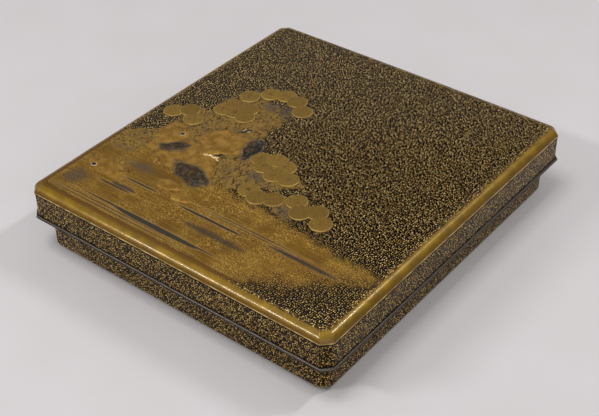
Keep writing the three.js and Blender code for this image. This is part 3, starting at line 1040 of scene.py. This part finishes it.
first, last = np.arange(loop_count), np.arange(loop_count) + (len(rim_levels) - 1) * loop_count
rim_faces += np.column_stack([last, first, np.roll(first, -1), np.roll(last, -1)]).tolist()
metal = Finish("pewter")
dull = metal.noise(7, detail=4)
rim_height = metal.axes()[2] - rim_middle
# Painted highlight: a lighter band a little above the bead's middle, with a wavering edge.
highlight_line_height = rim_height + dull * 0.4 - 0.2
pewter = metal.shade(
    height=metal.noise(1.6, detail=3) * 0.05,
    Base_Color=metal.mix(
        metal.mix(tint(42, 38, 35), tint(66, 61, 57), dull.ramp(0.35, 0.65)),
        tint(92, 84, 75),
        highlight_line_height.ramp(0.25, 0.5) * highlight_line_height.ramp(1.15, 0.85),
    ),
    Metallic=rim_height.ramp(-0.5, 0.1, 0.0, 0.7),
    Roughness=rim_height.ramp(-0.5, 0.1, 0.7, 0.4),
    Specular_IOR_Level=0.2,
)
rim = make_piece("lid_rim_bead", rim_points, rim_faces, [pewter], [0] * len(rim_faces))
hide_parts("lid_rim")
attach(rim, "root")


# Stage, light and camera. A pale table in a light room, with a soft lamp overhead, a long low window at the near
# left, a narrow one at the far right and pale walls, and a camera above the near corner of the box.
floor_finish = Finish("table")
floor_finish.shade(
    Base_Color=floor_finish.mix(tint(197, 193, 193), tint(205, 201, 203), floor_finish.noise(60, detail=3)),
    Roughness=0.8,
)
FLOOR_SIZE = 4000
floor_points = np.array([(-1, -1, 0), (1, -1, 0), (1, 1, 0), (-1, 1, 0)]) * FLOOR_SIZE / 2
floor = make_piece("table", floor_points, [[0, 1, 2, 3]], [floor_finish.material], [0])

ROOM_COLOUR = (0.98, 0.96, 0.95, 1.0)
ROOM_STRENGTH = 0.22
scene = bpy.context.scene
world = bpy.data.worlds.new("room")
world.use_nodes = True
background = world.node_tree.nodes["Background"].inputs
background["Color"].default_value = ROOM_COLOUR
background["Strength"].default_value = ROOM_STRENGTH
scene.world = world
scene.view_settings.view_transform = "Standard"


def window(name, place, along, size, power):
    """A flat light that faces the box, with its longer side along a direction. Its place and size are in metres
    and its power in watts."""
    light = bpy.data.lights.new(name, "AREA")
    light.shape = "RECTANGLE"
    light.size, light.size_y = size
    light.energy = power
    lamp = bpy.data.objects.new(name, light)
    away = Vector(place).normalized()
    side = (Vector(along) - away * away.dot(Vector(along))).normalized()
    turned = Matrix((side, away.cross(side), away)).transposed()
    lamp.matrix_world = Matrix.Translation(place) @ turned.to_4x4()
    scene.collection.objects.link(lamp)


window("left_window", (-0.88, -1.36, 1.13), (-0.66, 0.22, -0.19), (0.62, 0.12), 12)
window("right_window", (0.8, 1.1, 1.37), (-0.13, 0.55, -0.26), (0.7, 0.25), 1.4)
window("right_lamp", (0.84, 0.88, 1.46), (-0.13, 0.55, -0.26), (0.4, 0.09), 8)
window("lamp", (-0.15, -0.66, 2.4), (1, 0, 0), (0.95, 0.95), 23.4)
window("ceiling", (0, 0, 1.9), (1, 0, 0), (3.4, 3.4), 7)
window("near_wall", (2.0, -1.25, 1.1), (1, 1, 0), (2.8, 1.8), 17.6)
window("far_wall", (-1.25, 1.55, 0.8), (1, 0.8, 0), (2.4, 1.0), 1.2)

IMAGE_WIDTH = 599
FOCAL_PIXELS = 1223.6
SENSOR = 36.0
AZIMUTH, ELEVATION, ROLL = (math.radians(angle) for angle in (39.04, 37.62, -1.31))
DISTANCE = 753.7
AIM_HEIGHT = 20.0
SLIDE_RIGHT, SLIDE_UP = 2.0, 11.06
back = np.array([
    math.sin(AZIMUTH) * math.cos(ELEVATION), -math.cos(AZIMUTH) * math.cos(ELEVATION), math.sin(ELEVATION),
])
level_right = np.array([math.cos(AZIMUTH), math.sin(AZIMUTH), 0])
level_up = np.cross(back, level_right)
right = math.cos(ROLL) * level_right + math.sin(ROLL) * level_up
up = math.cos(ROLL) * level_up - math.sin(ROLL) * level_right
spot = np.array([0, 0, AIM_HEIGHT]) + back * DISTANCE - right * SLIDE_RIGHT - up * SLIDE_UP
camera_data = bpy.data.cameras.new("camera")
camera_data.sensor_width = SENSOR
camera_data.lens = FOCAL_PIXELS / IMAGE_WIDTH * SENSOR
camera_data.clip_start, camera_data.clip_end = 0.01, 20
camera = bpy.data.objects.new("camera", camera_data)
turned = np.column_stack([right, up, back])
camera.matrix_world = Matrix.Translation((spot * MM).tolist()) @ Matrix(turned.tolist()).to_4x4()
scene.collection.objects.link(camera)
scene.camera = camera
